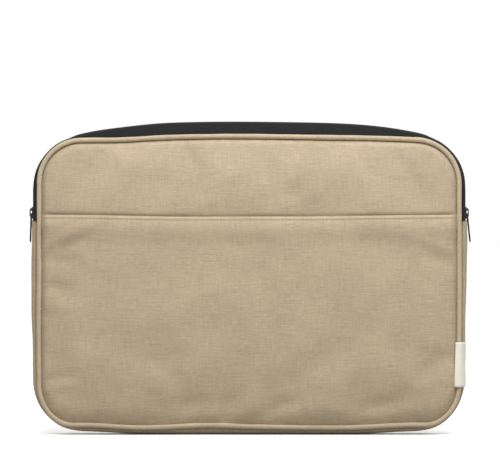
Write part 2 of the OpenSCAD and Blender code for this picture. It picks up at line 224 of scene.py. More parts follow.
def outward(piece, toward=0):
    """Turns a closed mesh's faces outward, or most of an open sheet's to +Y (1) or -Y (-1)."""
    bm = bmesh.new()
    bm.from_mesh(piece.data)
    bmesh.ops.recalc_face_normals(bm, faces=bm.faces)
    if toward and sum(f.normal.y * f.calc_area() for f in bm.faces) * toward < 0:
        bmesh.ops.reverse_faces(bm, faces=bm.faces)
    bm.to_mesh(piece.data)
    bm.free()
    return piece


def apply_modifiers(piece):
    depsgraph = bpy.context.evaluated_depsgraph_get()
    mesh = bpy.data.meshes.new_from_object(piece.evaluated_get(depsgraph))
    old = piece.data
    piece.modifiers.clear()
    piece.data = mesh
    bpy.data.meshes.remove(old)
    return piece


def thicken_towards(piece, thickness, toward):
    """Gives a sheet thickness on its +Y (1) or -Y (-1) side."""
    solid = outward(piece, toward).modifiers.new("thickness", "SOLIDIFY")
    solid.thickness = thickness
    solid.offset = 1.0
    solid.use_even_offset = True
    solid.use_rim = True
    return apply_modifiers(piece)


def lofted(name, rows, u, v, material, ring=False, loop=False, caps=False):
    """Skins a grid of points. rows is (rows, columns, 3); u and v are metres of cloth along each.

    ring closes the rows on themselves, loop closes the columns, caps closes a loop's two ends."""
    rows = np.asarray(rows, float)
    n, m = rows.shape[:2]
    faces, uv = [], []
    for i in range(n if ring else n - 1):
        for j in range(m if loop else m - 1):
            a, b = i, (i + 1) % n
            c, d = j, (j + 1) % m
            faces.append((a * m + c, b * m + c, b * m + d, a * m + d))
            uv += [(u[i], v[j]), (u[i + 1], v[j]), (u[i + 1], v[j + 1]), (u[i], v[j + 1])]
    if caps:
        for i in (0, n - 1):
            for j in range(m // 2 - 1):
                quad = (j, j + 1, m - 2 - j, m - 1 - j)
                faces.append(tuple(i * m + q for q in quad))
                uv += [(u[i], v[q]) for q in quad]
    piece = make_piece(name, rows.reshape(-1, 3), faces, uv, material)
    return outward(piece) if (loop and (ring or caps)) else piece


def swept(stations, section):
    """Points of section(s) along the outline; a section is a list of (depth, outward)."""
    rows = []
    for s in stations:
        x, z, nx, nz = outline(s)
        rows.append([(x + n * nx, y, z + n * nz) for y, n in section(s)])
    return relax(np.array(rows))


def stations(s0, s1, step):
    count = max(2, int(round((s1 - s0) / step)) + 1)
    return np.linspace(s0, s1, count)


def lengths(line):
    """Running length of a line of points, starting at 0."""
    line = np.asarray(line, float)
    return np.concatenate([[0], np.cumsum(np.linalg.norm(np.diff(line, axis=0), axis=1))])


def unit(rows):
    return rows / np.linalg.norm(rows, axis=1)[:, None]


def band(line, thickness):
    """A closed section of the given thickness round an open line of (depth, outward) points."""
    line = np.asarray(line, float)
    tangent = unit(np.gradient(line, axis=0))
    normal = np.stack([-tangent[:, 1], tangent[:, 0]], 1)
    half = normal * thickness / 2
    return np.concatenate([line + half, (line - half)[::-1]])


def band_lengths(line):
    """v values for band(): along one face, round the end, and back."""
    run = lengths(line)
    back = run[-1] + 0.3 * MM + (run[-1] - run[::-1])
    return np.concatenate([run, back, [back[-1] + 0.3 * MM]])


# ---- panel grids
class Patch:
    """A grid over the panel's outline: bands that follow the border, then a plain grid inside.

    With open_z the patch is cut straight across at that height and its top edge is open."""

    def __init__(self, n, cell, border, open_z=None, extra_rows=()):
        self.r = CORNER_R + n
        depths = [d for d in border if d < self.r * 0.8]
        rest = max(2, int(round((self.r - depths[-1]) / cell)))
        depths += list(np.linspace(depths[-1], self.r, rest + 1)[1:-1])
        top = HIGH_C if open_z is None else open_z
        xs = np.linspace(-CORNER_X, CORNER_X, int(round(2 * CORNER_X / cell)) + 1)
        zs = np.linspace(LOW_C, top, int(round((top - LOW_C) / cell)) + 1)
        if len(extra_rows):
            clear = np.min(np.abs(zs[:, None] - np.array(extra_rows)[None, :]), axis=1) > 0.6 * MM
            clear[[0, -1]] = True
            zs = np.sort(np.concatenate([zs[clear], extra_rows]))
        arc = max(6, int(round(self.r * math.pi / 2 / cell * 0.9)))
        self.nx, self.nz, self.arc = len(xs), len(zs), arc
        self.open = open_z is not None
        points = []
        loops = []
        for d in depths:
            w = self.r - d
            ring = [(-CORNER_X - w, z) for z in zs[::-1]]
            ring += self.corner(-CORNER_X, LOW_C, w, 180)
            ring += [(x, LOW_C - w) for x in xs]
            ring += self.corner(CORNER_X, LOW_C, w, 270)
            ring += [(CORNER_X + w, z) for z in zs]
            if not self.open:
                ring += self.corner(CORNER_X, HIGH_C, w, 0)
                ring += [(x, HIGH_C + w) for x in xs[::-1]]
                ring += self.corner(-CORNER_X, HIGH_C, w, 90)
            loops.append(list(range(len(points), len(points) + len(ring))))
            points += ring
        base = len(points)
        self.grid = base + np.arange(self.nx * self.nz).reshape(self.nz, self.nx)
        points += [(x, z) for z in zs for x in xs]
        g = self.grid
        inner = list(g[::-1, 0]) + [g[0, 0]] * (arc - 1) + list(g[0, :])
        inner += [g[0, -1]] * (arc - 1) + list(g[:, -1])
        if not self.open:
            inner += [g[-1, -1]] * (arc - 1) + list(g[-1, ::-1]) + [g[-1, 0]] * (arc - 1)
        loops.append(inner)
        self.loops = loops
        self.xz = np.array(points, float)
        self.faces = self.make_faces()

    def corner(self, cx, cz, w, start):
        angles = np.radians(np.linspace(start, start + 90, self.arc + 1)[1:-1])
        return [(cx + w * math.cos(a), cz + w * math.sin(a)) for a in angles]

    def make_faces(self):
        faces = []
        count = len(self.loops[0])
        last = count - 1 if self.open else count
        for a, b in zip(self.loops, self.loops[1:]):
            for i in range(last):
                k = (i + 1) % count
                quad = [a[i], a[k], b[k], b[i]]
                face = [q for j, q in enumerate(quad) if q != quad[j - 1]]
                if len(face) > 2:
                    faces.append(face)
        g = self.grid
        for i in range(self.nz - 1):
            for j in range(self.nx - 1):
                faces.append([g[i, j], g[i, j + 1], g[i + 1, j + 1], g[i + 1, j]])
        return faces

    def top_row(self):
        """The open top edge's points from left to right."""
        left = [loop[0] for loop in self.loops[:-1]]
        right = [loop[-1] for loop in self.loops[:-1]][::-1]
        return left + list(self.grid[-1, :]) + right

    def border(self):
        return self.loops[0]


def corner_uv(faces, points):
    return [tuple(points[i]) for f in faces for i in f]


def sheet_from(name, patch, y, material):
    """A single layer over a patch at depths y."""
    verts = np.stack([patch.xz[:, 0], y, patch.xz[:, 1]], 1)
    uv = corner_uv(patch.faces, patch.xz)
    return make_piece(name, relax(verts), patch.faces, uv, material)


BORDER = [d * MM for d in (0, 0.4, 0.8, 1.3, 1.9, 2.7, 3.7, 5, 6.7, 9)]


def shoulder(d, reach, height):
    """Rise out of the seam: steep first, then rounding over."""
    t = np.clip(d / reach, 0, 1)
    return height * (1 - (1 - t) ** 2.3) ** 1.3


def crown(d, reach, height):
    return height * np.sin(np.clip(d / reach, 0, 1) * math.pi / 2)


def along_border(x, z):
    """Angle round the panel's middle, scaled to metres, for puckers that run off the seam."""
    return np.arctan2((z - 0.139) * 1.3, x) * 0.21


def puckers(x, z, d, seed, strength):
    """Short gathers that run in from the piping and soft slow hollows further in."""
    s = along_border(x, z)
    near = np.exp(-d / (17 * MM)) * smooth(d / (5 * MM))
    fine = ripple(s, d * 0.15, 0.021, seed) * near
    slow = ripple(x, z, 0.085, seed + 1) * smooth(d / (25 * MM))
    small = ripple(x, z, 0.034, seed + 2) * smooth(d / (12 * MM))
    return strength * (0.42 * MM * fine + 0.55 * MM * slow + 0.10 * MM * small)


# Soft folds and hollows pressed into the front by handling: the middle's x and z, half length,
# half width and height in millimetres, and the slope of its run in degrees.
FRONT_FOLDS = [
    (-168, 181, 26, 5.0, 1.5, 27), (-170, 172, 24, 4.5, -1.3, 24), (-176, 160, 14, 4.0, -1.2, 6),
    (-178, 136, 13, 4.5, -1.2, -8), (-174, 118, 18, 5.0, 0.8, 4), (-176, 52, 18, 5.0, -1.2, 10),
    (-150, 232, 22, 7.0, -0.9, 62), (-128, 214, 30, 9.0, 0.8, 70), (-46, 27, 34, 9.0, -1.9, 6),
    (-16, 26, 16, 8.0, -1.5, 70), (28, 26, 20, 7.0, -1.6, 20), (4, 30, 14, 9.0, 1.2, 80),
    (72, 24, 26, 7.0, 0.9, 0), (118, 26, 24, 7.0, -1.5, 8), (172, 66, 20, 8.0, -1.4, 40),
    (178, 160, 16, 5.0, -1.0, -14), (166, 176, 26, 5.0, 1.0, -18), (60, 66, 46, 16.0, -1.2, 30),
    (-90, 70, 40, 15.0, -0.9, -24), (120, 112, 36, 14.0, -0.8, 50), (-30, 128, 60, 18.0, 0.8, 20),
    (148, 226, 30, 10.0, -0.8, 48), (40, 236, 46, 12.0, 0.7, 12), (-60, 226, 40, 12.0, -0.6, -10),
]


FOLD_GAIN = 1.5


def folds(x, z, rows):
    """Height of a list of long soft folds."""
    total = 0
    for cx, cz, half_l, half_w, height, slope in rows:
        c, d = math.cos(math.radians(slope)), math.sin(math.radians(slope))
        u, v = x / MM - cx, z / MM - cz
        along, across = u * c + v * d, v * c - u * d
        bell = np.exp(-((along / half_l) ** 2) - (across / half_w) ** 2)
        total = total + FOLD_GAIN * height * MM * bell
    return total


def mouth_sag(x):
    return 1.0 * MM - 2.0 * MM * np.maximum(0, 1 - (x / HALF_W) ** 2)


def panel_depth(x, z, side, seed):
    """Depth of a panel's outer face."""
    d = inset(x, z, PANEL_N)
    out = -1.9 * MM + 0.35 * MM * np.clip(d / (1 * MM), 0, 1)
    low = 1 - rise(z, LOW_Z, 45 * MM)
    out = out + shoulder(d - 0.9 * MM, (6.0 + 11.0 * low) * MM, 4.5 * MM)
    out = out + crown(d, 80 * MM, 2.4 * MM) + puckers(x, z, d, seed, 1.25)
    if side < 0:
        out = out + folds(x, z, FRONT_FOLDS) * smooth(d / (7 * MM))
        above = (z - POCKET_Z - mouth_sag(x)) / MM
        pinch = np.where(above > 0, hump(above, 0, 2.6), hump(above, 0, 9.0))
        out = out - 1.5 * MM * pinch * smooth(d / (10 * MM))
    return pipe_y(side) + side * out


SEAM_DOWN = 2.6 * MM


def pocket_depth(x, z):
    """Depth of the slip pocket's outer face: the panel's, and the pocket's slack on top of it."""
    d = inset(x, z, PANEL_N)
    wide = np.maximum(0, 1 - (x / HALF_W) ** 2)
    slack = 0.5 * MM + 2.0 * MM * wide * smooth(z / POCKET_Z)
    hem = 2.9 * MM * smooth((z - POCKET_Z + 26 * MM) / (20 * MM))
    base = panel_depth(x, z, -1, 11)
    own = puckers(x, z, d, 31, 0.35)
    below = (POCKET_Z - z) / MM
    stitched = 0.40 * hump(below, SEAM_DOWN / MM, 0.9) * MM
    rolled = 0.55 * np.clip(1 - below / 1.1, 0, 1) ** 2 * MM
    inward = (stitched + rolled) * smooth(d / (4 * MM))
    return base - 0.75 * MM - (slack + hem) * smooth(d / (6 * MM)) - own + inward


# ---- materials
def put(tree, socket, value):
    """Links a socket to another node's output, or sets its value."""
    if isinstance(value, bpy.types.NodeSocket):
        tree.links.new(value, socket)
    else:
        socket.default_value = value


def add_node(tree, kind, inputs=None, **settings):
    node = tree.nodes.new("ShaderNode" + kind)
    for name, setting in settings.items():
        setattr(node, name, setting)
    for socket, value in (inputs or {}).items():
        put(tree, node.inputs[socket], value)
    return node


class Nodes:
    """A small helper to wire up a material's nodes."""

    def __init__(self, name, roughness, sheen=0.0, metallic=0.0, specular=0.5):
        self.mat = bpy.data.materials.new(name)
        self.mat.use_nodes = True
        self.tree = self.mat.node_tree
        self.bsdf = self.tree.nodes["Principled BSDF"]
        for socket, value in (
                ("Roughness", roughness), ("Metallic", metallic), ("Specular IOR Level", specular),
                ("Sheen Weight", sheen), ("Sheen Roughness", 0.6)):
            self.bsdf.inputs[socket].default_value = value
        self.uv = self.add("UVMap", uv_map="cloth").outputs["UV"]

    def add(self, kind, inputs=None, **settings):
        return add_node(self.tree, kind, inputs, **settings)

    def math(self, operation, a, b=0.0):
        return self.add("Math", {0: a, 1: b, 2: 0.0}, operation=operation).outputs[0]

    def scaled(self, vector, sx, sy):
        inputs = {0: vector, 1: (sx, sy, 1.0)}
        return self.add("VectorMath", inputs, operation="MULTIPLY").outputs[0]

    def turned(self, vector, degrees):
        inputs = {"Vector": vector, "Angle": math.radians(degrees)}
        return self.add("VectorRotate", inputs, rotation_type="Z_AXIS").outputs[0]

    def split(self, vector):
        node = self.add("SeparateXYZ", {0: vector})
        return node.outputs[0], node.outputs[1]

    def noise(self, vector, scale, detail=2.0, rough=0.5):
        inputs = {"Vector": vector, "Scale": scale, "Detail": detail, "Roughness": rough}
        return self.add("TexNoise", inputs).outputs["Fac"]

    def span(self, value, low, high, to_low, to_high):
        inputs = {"Value": value, "From Min": low, "From Max": high,
                  "To Min": to_low, "To Max": to_high}
        return self.add("MapRange", inputs).outputs["Result"]

    def mix(self, factor, a, b, blend="MIX"):
        inputs = {"Factor": factor, "A": a, "B": b}
        return self.add("Mix", inputs, data_type="RGBA", blend_type=blend).outputs["Result"]

    def tint(self, colour, value):
        """Multiplies a colour by a grey value."""
        return self.mix(1.0, colour, value, "MULTIPLY")

    def bump(self, height, distance, strength):
        inputs = {"Height": height, "Distance": distance, "Strength": strength}
        return self.add("Bump", inputs).outputs["Normal"]

    def finish(self, colour, normal):
        put(self.tree, self.bsdf.inputs["Base Color"], colour)
        put(self.tree, self.bsdf.inputs["Normal"], normal)
        return self.mat

    def weave(self, vector, thread, waver=0.25):
        """Height of a plain weave: crowns of warp and weft that pass over each other."""
        threads = self.scaled(vector, 1 / thread, 1 / thread)
        wobble = self.noise(threads, 0.22, 1.0)
        x, y = self.split(threads)
        x = self.math("ADD", x, self.math("MULTIPLY", wobble, waver * 2))
        y = self.math("ADD", y, self.math("MULTIPLY", wobble, -waver * 2))
        sx = self.math("SINE", self.math("MULTIPLY", x, math.pi))
        sy = self.math("SINE", self.math("MULTIPLY", y, math.pi))
        return self.math("POWER", self.math("ABSOLUTE", self.math("MULTIPLY", sx, sy)), 0.5)


def srgb(r, g, b):
    def linear(c):
        c /= 255
        return c / 12.92 if c <= 0.04045 else ((c + 0.055) / 1.055) ** 2.4

    return (linear(r), linear(g), linear(b), 1.0)


def canvas(name, colour, thread=0.62 * MM, turn=0.0, flecks=1.0):
    """Slubby plain woven cotton: uneven threads both ways, pale specks and a soft large mottle."""
    n = Nodes(name, roughness=0.92, sheen=0.12, specular=0.18)
    uv = n.turned(n.uv, turn) if turn else n.uv
    ridge = n.weave(uv, thread)
    warp = n.noise(n.scaled(uv, 1 / thread, 60), 0.9, 2.0)
    weft = n.noise(n.scaled(uv, 45, 1 / thread), 0.9, 2.0)
    slub = n.noise(n.scaled(uv, 130, 900), 1.0, 1.0)
    mottle = n.noise(uv, 28.0, 3.0, 0.6)
    grain = n.noise(uv, 900.0, 2.0, 0.7)
    speck = n.noise(n.scaled(uv, 240, 900), 1.0, 0.0)
    dark = n.noise(n.scaled(uv, 190, 1100), 1.0, 1.0)
    value = n.span(ridge, 0, 1, 0.80, 1.05)
    for part, *reach in (
            (warp, 0.25, 0.75, 0.90, 1.10), (weft, 0.25, 0.75, 0.87, 1.13),
            (mottle, 0.3, 0.7, 0.94, 1.05), (grain, 0.3, 0.7, 0.95, 1.05),
            (dark, 0.35, 0.7, 1.05, 0.93)):
        value = n.math("MULTIPLY", value, n.span(part, *reach))
    shade = n.tint(colour, value)
    pale = n.span(speck, 0.74, 0.84, 0.0, 0.26 * flecks)
    shade = n.mix(pale, shade, srgb(236, 224, 200))
    height = n.math("ADD", ridge, n.math("MULTIPLY", slub, 0.8))
    height = n.math("ADD", height, n.math("MULTIPLY", weft, 0.9))
    normal = n.bump(height, 0.10 * MM, 0.55)
    return n.finish(shade, normal)


def tape_cloth(name, colour, rib=0.5 * MM, sheen=0.25):
    """Herringbone zipper or binding tape."""
    n = Nodes(name, roughness=0.72, sheen=sheen, specular=0.3)
    x, y = n.split(n.scaled(n.uv, 1 / rib, 1 / rib))
    zig = n.math("PINGPONG", y, 3.0)
    line = n.math("SINE", n.math("MULTIPLY", n.math("ADD", x, zig), math.pi))
    ridge = n.math("ABSOLUTE", line)
    grain = n.noise(n.uv, 1200.0, 2.0)
    value = n.math("MULTIPLY", n.span(ridge, 0, 1, 0.65, 1.1), n.span(grain, 0.3, 0.7, 0.8, 1.2))
    return n.finish(n.tint(colour, value), n.bump(ridge, 0.10 * MM, 0.6))


def plain_cloth(name, colour, thread=0.35 * MM, rough=0.8, sheen=0.2):
    """A fine even weave, for the lining and the label."""
    n = Nodes(name, roughness=rough, sheen=sheen, specular=0.25)
    ridge = n.weave(n.uv, thread, 0.12)
    slow = n.noise(n.uv, 60.0, 3.0)
    value = n.math("MULTIPLY", n.span(ridge, 0, 1, 0.82, 1.04),
                   n.span(slow, 0.3, 0.7, 0.94, 1.05))
    return n.finish(n.tint(colour, value), n.bump(ridge, 0.06 * MM, 0.5))


def foam_cloth(name, colour):
    n = Nodes(name, roughness=0.95)
    cells = n.noise(n.uv, 1500.0, 3.0, 0.8)
    return n.finish(n.tint(colour, n.span(cells, 0.3, 0.7, 0.75, 1.1)), n.bump(cells, 0.2 * MM, 0.7))


def gunmetal(name, colour):
    """Painted zinc with fine orange peel and lighter rubbed edges."""
    n = Nodes(name, roughness=0.38, metallic=0.65)
    pointed = n.add("NewGeometry").outputs["Pointiness"]
    position = n.add("TexCoord").outputs["Object"]
    peel = n.noise(position, 2600.0, 2.0)
    worn = n.math("MULTIPLY", n.span(pointed, 0.52, 0.60, 0, 1),
                  n.span(n.noise(position, 700.0, 3.0), 0.4, 0.7, 0.2, 1))
    shade = n.mix(n.math("MULTIPLY", worn, 0.5), colour, (0.32, 0.32, 0.33, 1))
    put(n.tree, n.bsdf.inputs["Roughness"], n.span(peel, 0.3, 0.7, 0.30, 0.44))
    return n.finish(shade, n.bump(peel, 0.03 * MM, 0.4))


def nylon(name, colour):
    n = Nodes(name, roughness=0.42, specular=0.45)
    grain = n.noise(n.uv, 1500.0, 1.0)
    shade = n.tint(colour, n.span(grain, 0.3, 0.7, 0.8, 1.2))
    return n.finish(shade, n.bump(grain, 0.02 * MM, 0.3))


def thread_twist(name, colour):
    """Sewing thread: fine diagonal plies."""
    n = Nodes(name, roughness=0.75, sheen=0.2, specular=0.3)
    x, y = n.split(n.scaled(n.uv, 1 / (0.5 * MM), 1 / (0.5 * MM)))
    ply = n.math("ABSOLUTE", n.math("SINE", n.math("MULTIPLY", n.math("ADD", x, y), math.pi)))
    return n.finish(n.tint(colour, n.span(ply, 0, 1, 0.7, 1.05)), n.bump(ply, 0.05 * MM, 0.6))


CANVAS = canvas("sand_canvas", srgb(191, 173, 145))
PIPING = canvas("piping_canvas", srgb(196, 179, 151), thread=0.55 * MM, turn=45, flecks=0.5)
GUSSET = canvas("gusset_canvas_cloth", srgb(188, 170, 142))
TAPE = tape_cloth("zipper_tape_cloth", (0.0105, 0.0105, 0.0115, 1), sheen=0.10)
COIL = nylon("zipper_nylon", (0.012, 0.012, 0.014, 1))
BINDING = tape_cloth("binding_cloth", (0.014, 0.014, 0.016, 1), rib=0.8 * MM)
LINING = plain_cloth("lining_cloth", (0.028, 0.028, 0.032, 1))
FOAM = foam_cloth("padding_foam", (0.25, 0.25, 0.26, 1))
CORD = plain_cloth("filler_cord", srgb(226, 220, 206), thread=0.8 * MM)
LABEL_CLOTH = plain_cloth("label_cotton", srgb(250, 244, 228), thread=0.3 * MM, rough=0.85)
METAL = gunmetal("gunmetal", (0.035, 0.035, 0.038, 1))
THREAD = thread_twist("sand_thread", srgb(196, 178, 149))


# ---- cloth
def billow(piece, patch, side, pressure=1.2, slack=0.0025, cap=3.4 * MM, frames=18):
    """Lets a canvas sheet, a little larger than its seam, settle over its padding: a cloth
    simulation with its border held, and every point kept within cap of where it started.
"""
    scene = bpy.context.scene
    start = np.array([v.co for v in piece.data.vertices])
    depth = inset(patch.xz[:, 0], patch.xz[:, 1], PANEL_N)
    hold = 1 - smooth((depth - 1.2 * MM) / (2.5 * MM))
    group = piece.vertex_groups.new(name="held")
    for i, weight in enumerate(hold):
        if weight > 0:
            group.add([i], float(weight), "REPLACE")
    mod = piece.modifiers.new("billow", "CLOTH")
    for name, value in (
            ("quality", 7), ("mass", 0.25), ("tension_stiffness", 40),
            ("compression_stiffness", 40), ("shear_stiffness", 12), ("bending_stiffness", 3.0),
            ("tension_damping", 20), ("compression_damping", 20), ("shear_damping", 20),
            ("air_damping", 4), ("vertex_group_mass", "held"), ("shrink_min", -slack),
            ("use_pressure", True), ("uniform_pressure_force", pressure)):
        setattr(mod.settings, name, value)
    mod.settings.effector_weights.gravity = 0
    mod.collision_settings.use_collision = False
    mod.point_cache.frame_end = frames + 2
    for frame_number in range(1, frames + 1):
        scene.frame_set(frame_number)
    evaluated = piece.evaluated_get(bpy.context.evaluated_depsgraph_get())
    end = np.array([v.co for v in evaluated.data.vertices])
    piece.modifiers.clear()
    piece.vertex_groups.clear()
    scene.frame_set(1)
    move = end - start
    reach = np.linalg.norm(move, axis=1, keepdims=True)
    move *= np.minimum(1, cap / np.maximum(reach, 1e-9)) * (1 - hold[:, None])
    inward = np.maximum(-side * move[:, 1] - 0.15 * MM, 0)
    move[:, 1] += side * inward
    piece.data.vertices.foreach_set("co", (start + move).ravel())
    piece.data.update()
    return start, move


def carried(points, moved):
    """Points that lie on a sheet, shifted as the sheet's nearest points were."""
    points = np.asarray(points, float)
    if moved is None:
        return points
    start, move = moved
    tree = KDTree(len(start))
    for i, place in enumerate(start):
        tree.insert((place[0], 0, place[2]), i)
    tree.balance()
    shifted = points.copy()
    for i, point in enumerate(points):
        near = tree.find_n((point[0], 0, point[2]), 4)
        weight = np.array([1 / (n[2] + 0.3 * MM) for n in near])
        shift = sum(w * move[n[1]] for w, n in zip(weight, near)) / weight.sum()
        shifted[i] += (0, shift[1], 0)
    return shifted


# ---- panels
def panel_skin(name, side, seed):
    rows = ()
    if side < 0:
        rows = POCKET_Z + np.array([-3, -1.5, -0.5, 0.5, 1.3, 2.1, 3.0, 4.2, 5.6]) * MM
    patch = Patch(PANEL_N, 4 * MM, BORDER, extra_rows=rows)
    x, z = patch.xz.T
    piece = sheet_from(name, patch, panel_depth(x, z, side, seed), CANVAS)
    moved = billow(piece, patch, side)
    return outward(thicken_towards(piece, CANVAS_T, -side)), moved


def padding(name, side, skin_seed):
    """The foam between a panel's canvas and its lining, rounded off at its border."""
    patch = Patch(-6.5 * MM, 8 * MM, [0, 1 * MM, 3 * MM])
    x, z = patch.xz.T
    d = inset(x, z, -6.5 * MM)
    outer = panel_depth(x, z, side, skin_seed) - side * (CANVAS_T + 0.25 * MM)
    inner = np.full_like(outer, LINING_FRONT_Y if side < 0 else LINING_BACK_Y) + side * 1.1 * MM
    edge = smooth(d / (4 * MM)) * 0.8 + 0.2
    middle = (outer + inner) / 2
    outer, inner = middle + (outer - middle) * edge, middle + (inner - middle) * edge
    count = len(x)
    verts = np.concatenate([np.stack([x, outer, z], 1), np.stack([x, inner, z], 1)])
    faces = list(patch.faces) + [[i + count for i in f[::-1]] for f in patch.faces]
    ring = patch.border()
    for i, a in enumerate(ring):
        b = ring[(i + 1) % len(ring)]
        faces.append([a, b, b + count, a + count])
    uv = corner_uv(faces, np.concatenate([patch.xz, patch.xz]))
    piece = outward(make_piece(name, relax(verts), faces, uv, FOAM))
    return piece


def lining(name, side):
    patch = Patch(-3.5 * MM, 8 * MM, [0, 2 * MM, 5 * MM])
    x, z = patch.xz.T
    d = inset(x, z, -3.5 * MM)
    base = LINING_FRONT_Y if side < 0 else LINING_BACK_Y
    slack = 0.35 * MM * ripple(x, z, 0.05, 71 + side) * smooth(d / (20 * MM))
    y = np.full_like(x, base) + slack + side * 0.3 * MM
    piece = sheet_from(name, patch, y, LINING)
    return outward(thicken_towards(piece, 0.5 * MM, side))


def with_flap(piece, slot, *nodes):
    """The piece runs over the fold of the mouth, and stands for these nodes."""
    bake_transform(piece)
    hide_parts(*nodes)
    return piece


def on_sleeve(piece, slot, *nodes):
    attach(piece, "sleeve")
    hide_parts(*nodes)
    return piece


front_panel, front_moved = panel_skin("front_panel_canvas", -1, 11)
with_flap(front_panel, "canvas", "front_panel", "front_panel_top")
back_panel = on_sleeve(panel_skin("back_panel_canvas", 1, 23)[0], "canvas", "back_panel")
front_pad = with_flap(padding("front_padding", -1, 11), "foam", "front_foam", "front_foam_top")
back_pad = on_sleeve(padding("back_padding", 1, 23), "foam", "back_foam")
front_liner = with_flap(
    lining("front_lining_cloth", -1), "lining", "front_lining", "front_lining_top")
back_liner = on_sleeve(lining("back_lining_cloth", 1), "lining", "back_lining")


# ---- slip pocket
HEM_H = 14 * MM
FOLD_R = 1.2 * MM


def pocket_places(x, z):
    lift = mouth_sag(x) * np.clip(z / POCKET_Z, 0, 1) ** 6
    return np.stack([x, pocket_depth(x, z), z + lift], 1)


def pocket():
    rows = POCKET_Z - np.array([0.35, 0.7, 1.1, 1.6, 2.1, 2.6, 3.1, 3.7, 4.6]) * MM
    patch = Patch(PANEL_N, 4 * MM, BORDER, POCKET_Z, rows)
    verts = pocket_places(*patch.xz.T)
    row = patch.top_row()
    top = verts[row]
    deep = inset(top[:, 0], np.full(len(row), POCKET_Z), PANEL_N)
    keep = smooth(deep / (5 * MM))
    roll = np.radians([30, 60, 90, 120, 150, 180])
    steps = [(FOLD_R * (1 - math.cos(a)), FOLD_R * math.sin(a)) for a in roll]
    steps += [(2 * FOLD_R + 0.05 * MM * k, -HEM_H * k / 5) for k in range(1, 6)]
    points, uv_point, faces = [], [], []
    count = len(verts)
    before = list(row)
    run = 0.0
    last = (0.0, 0.0)
    for back, up in steps:
        run += math.hypot(back - last[0], up - last[1])
        last = (back, up)
        now = list(range(count + len(points), count + len(points) + len(row)))
        points += [(p[0], p[1] + back * k, p[2] + up) for p, k in zip(top, keep)]
        uv_point += [(p[0], POCKET_Z + run) for p in top]
        faces += [[a, b, c, d] for a, b, c, d in zip(before, before[1:], now[1:], now)]
        before = now
    verts = carried(relax(np.concatenate([verts, points])), front_moved)
    faces = list(patch.faces) + faces
    uv = corner_uv(faces, np.concatenate([patch.xz, uv_point]))
    piece = make_piece("slip_pocket_canvas", verts, faces, uv, CANVAS)
    return outward(thicken_towards(piece, 0.7 * MM, 1))


slip_pocket = on_sleeve(pocket(), "canvas", "slip_pocket", "pocket_hem")


# ---- stitches
def stitches(name, ends, radius, material):
    """A thread stitch from each point to its partner: a rounded bead that dips in at both ends.

    ends is a list of (start, end, outward direction)."""
    verts, faces, uv = [], [], []
    sides, steps = 6, 6
    for start, end, out in ends:
        start, end, out = Vector(start), Vector(end), Vector(out).normalized()
        along = (end - start).normalized()
        across = along.cross(out).normalized()
        base = len(verts)
        for i in range(steps + 1):
            t = i / steps
            arch = math.sin(math.pi * t)
            centre = start.lerp(end, t) + out * (radius * (1.3 * arch - 0.8))
            r = radius * (0.55 + 0.45 * arch ** 0.5)
            for j in range(sides):
                a = 2 * math.pi * j / sides
                verts.append(centre + across * (r * math.cos(a)) + out * (r * 0.8 * math.sin(a)))
        length = (end - start).length
        for i in range(steps):
            for j in range(sides):
                k = (j + 1) % sides
                a, b = base + i * sides, base + (i + 1) * sides
                faces.append((a + j, a + k, b + k, b + j))
                u0, u1 = length * i / steps, length * (i + 1) / steps
                v0, v1 = radius * j, radius * (j + 1)
                uv += [(u0, v0), (u0, v1), (u1, v1), (u1, v0)]
        for first in (base, base + steps * sides):
            ring = [first + j for j in range(sides)]
            faces.append(tuple(ring))
            uv += [(0, 0)] * sides
    return outward(make_piece(name, verts, faces, uv, material))


def pocket_point(x, z):
    place = pocket_places(np.array([x]), np.array([z]))
    return carried(relax(place), front_moved)[0]


STITCH = 2.6 * MM
STITCH_GAP = 0.7 * MM


def pocket_seam():
    ends = []
    x = -HALF_W + 5 * MM
    while x + STITCH < HALF_W - 5 * MM:
        z = POCKET_Z - SEAM_DOWN
        ends.append((pocket_point(x, z), pocket_point(x + STITCH, z), (0, -1, 0)))
        x += STITCH + STITCH_GAP
    return stitches("pocket_mouth_stitching", ends, 0.22 * MM, THREAD)


on_sleeve(pocket_seam(), "thread", "pocket_stitching")


# ---- piping
PIPE_SIDES = 14
JOIN_X = 4 * MM


def pipe_section(side, s):
    """Round welt whose radius wavers a little along its length, and at the front swells on one side
    of its join and narrows on the other.
    """
    pipe = pipe_y(side)
    waver = 1 + 0.025 * math.sin(s * 210) + 0.02 * math.sin(s * 83 + 1)
    from_join = (s - JOIN_X + 0.5 * PERIMETER) % PERIMETER - 0.5 * PERIMETER
    near_join = math.exp(-((from_join / (3 * MM)) ** 2)) * math.copysign(1, from_join)
    r = PIPE_R * waver * (1 + 0.14 * near_join * (side < 0))
    points = []
    for j in range(PIPE_SIDES):
        a = 2 * math.pi * j / PIPE_SIDES
        points.append((pipe + r * math.cos(a), r * math.sin(a)))
    return points


def ring_piece(name, step, section, v, material):
    """A closed strand of section(s) all the way round the outline."""
    count = int(round(PERIMETER / step))
    u = np.arange(count + 1) * PERIMETER / count
    return lofted(name, swept(u[:-1], section), u, v, material, ring=True, loop=True)


def piping(name, side):
    v = np.arange(PIPE_SIDES + 1) * 2 * math.pi * PIPE_R / PIPE_SIDES
    return ring_piece(name, 3 * MM, lambda s: pipe_section(side, s), v, PIPING)


def cord_core(name, side):
    r = PIPE_R * 0.72
    angles = np.linspace(0, 2 * math.pi, 9)[:-1]
    circle = [(pipe_y(side) + r * math.cos(a), r * math.sin(a)) for a in angles]
    v = np.arange(9) * 2 * math.pi * r / 8
    return ring_piece(name, 6 * MM, lambda s: circle, v, CORD)


